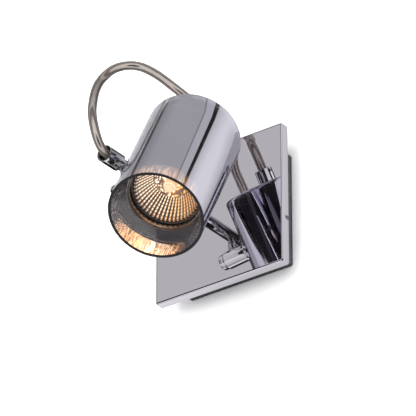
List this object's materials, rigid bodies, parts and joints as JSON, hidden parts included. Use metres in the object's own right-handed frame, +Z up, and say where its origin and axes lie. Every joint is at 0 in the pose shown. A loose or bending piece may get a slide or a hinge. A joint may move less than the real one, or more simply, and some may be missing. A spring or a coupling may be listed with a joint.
{
  "type": "wall spotlight",
  "caption": "Wall spotlight: mirrored glass cylinder tilting on a barrel under a swivelling stem, braided flex looped to the stem's end, square mirror plate.",
  "frame": {"origin": "centre of the back box's wall face, in the wall plane", "axes": "+Y into the wall, +Z up, +X to the right for a person who faces the wall"},
  "size_m": [0.1104, 0.1568, 0.1758],
  "materials": {
    "plate_mirror": "mirror-polished chrome plating",
    "chrome": "polished chrome plating",
    "zinc_sheet": "matt zinc-plated sheet",
    "screw_steel": "satin plated steel",
    "soft_black": "matt moulded rubber",
    "block_white": "matt moulded plastic",
    "washer_white": "smooth low-friction plastic",
    "brass": "turned brass",
    "braid": "braided metal wire over a flex",
    "mirrored_glass": "thinly mirrored, slightly see-through glass",
    "aluminium": "spun aluminium",
    "lamp_mirror": "faceted glass with a mirror coating",
    "clear_glass": "clear pressed glass",
    "lit_capsule": "clear quartz, lit",
    "ceramic": "unglazed ceramic",
    "pin_nickel": "nickel-plated"
  },
  "bodies": {
    "wall_plate": {"wall_box": "zinc_sheet", "canopy_plate": "plate_mirror", "canopy_lugs": "zinc_sheet", "canopy_screws": "screw_steel", "entry_grommet": "soft_black", "terminal_block": "block_white", "terminal_screws": "screw_steel", "terminal_fixing": "screw_steel", "earth_screw": "brass", "stem_bush": "chrome", "bush_washer": "screw_steel", "bush_nut": "brass"},
    "arm": {"stem_tube": "chrome", "stem_friction_washer": "washer_white", "stem_clip": "screw_steel", "cable_socket": "chrome", "cable_bushing": "soft_black", "socket_screws": "screw_steel", "pivot_neck": "chrome", "pivot_barrel": "chrome", "tilt_screw": "screw_steel", "flex_cable": "braid"},
    "head": {"pivot_bolt": "screw_steel", "cap_nut": "chrome", "cap_washer": "screw_steel", "shade_saddle": "chrome", "shade_spacer": "soft_black", "can_shim": "aluminium", "shade_glass": "mirrored_glass", "shade_screw": "screw_steel", "lamp_can": "aluminium", "can_bezel": "chrome", "lamp_reflector": "lamp_mirror", "lamp_cover": "clear_glass", "lamp_burner": "lit_capsule", "lamp_base": "ceramic", "lamp_pins": "pin_nickel", "lamp_holder": "ceramic", "holder_screws": "screw_steel", "holder_bracket": "aluminium", "rear_nipple": "brass", "nipple_nut": "brass", "rear_spacer": "aluminium", "rear_gaskets": "soft_black", "cable_gland": "chrome", "gland_screw": "screw_steel"}
  },
  "joints": [
    {"name": "stem_swivel", "type": "hinge", "parent": "wall_plate", "child": "arm", "pos_m": [-0.035, -0.027, 0.0212], "axis": [0, 1, 0], "range_deg": [-84, 96]},
    {"name": "head_tilt", "type": "hinge", "parent": "arm", "child": "head", "pos_m": [0.01537, -0.0902, 0.00789], "axis": [0.9945, 0, 0.1045], "range_deg": [-25, 45], "deforming": ["flex_cable"]}
  ]
}
